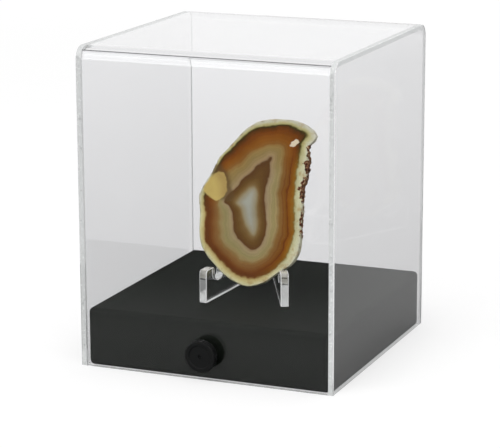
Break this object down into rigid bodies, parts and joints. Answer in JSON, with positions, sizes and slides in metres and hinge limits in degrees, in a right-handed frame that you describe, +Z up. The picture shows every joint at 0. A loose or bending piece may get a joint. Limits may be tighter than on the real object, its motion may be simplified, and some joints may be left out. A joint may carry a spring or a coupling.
{
  "type": "display case",
  "caption": "Clear bottomless acrylic cover with bent corners over a black base, locked by a thumb screw in its front wall, with a bent clear easel holding an agate slice.",
  "frame": {"origin": "centre of the underside of the case, on the surface it stands on", "axes": "+Z up, +X to the right seen from the knob's side, +Y towards the back, away from the knob"},
  "size_m": [0.1, 0.1046, 0.12],
  "materials": {
    "clear_acrylic": "polished",
    "black_base": "matte",
    "brass": "satin",
    "black_nylon": "matte",
    "black_plastic": "satin",
    "plated_steel": "satin",
    "agate": "polished"
  },
  "bodies": {
    "base": {"base_block": "black_base", "threaded_insert": "brass"},
    "cover": {"cover_sheet": "clear_acrylic", "left_panel": "clear_acrylic", "right_panel": "clear_acrylic"},
    "washer": {"nylon_washer": "black_nylon"},
    "thumb_screw": {"knob_head": "black_plastic", "screw_shank": "plated_steel"},
    "easel": {"display_easel": "clear_acrylic"},
    "specimen": {"agate_slice": "agate"}
  },
  "joints": [
    {"name": "cover_lift", "type": "slide", "parent": "base", "child": "cover", "axis": [0, 0, 1], "range_m": [0, 0.15]},
    {"name": "screw_travel", "type": "slide", "parent": "base", "child": "washer", "axis": [0, -1, 0], "range_m": [0, 0.0126]},
    {"name": "knob_turn", "type": "hinge", "parent": "washer", "child": "thumb_screw", "pos_m": [0, -0.05, 0.01], "axis": [0, -1, 0], "range_deg": [0, 6480]},
    {"name": "easel_lift", "type": "slide", "parent": "base", "child": "easel", "axis": [0, 0, 1], "range_m": [0, 0.012]},
    {"name": "specimen_lift", "type": "slide", "parent": "easel", "child": "specimen", "axis": [0, 0, 1], "range_m": [0, 0.012]}
  ],
  "couplings": [
    {"joint": "knob_turn", "follows": "screw_travel", "rad_per_m": 8975.9}
  ]
}
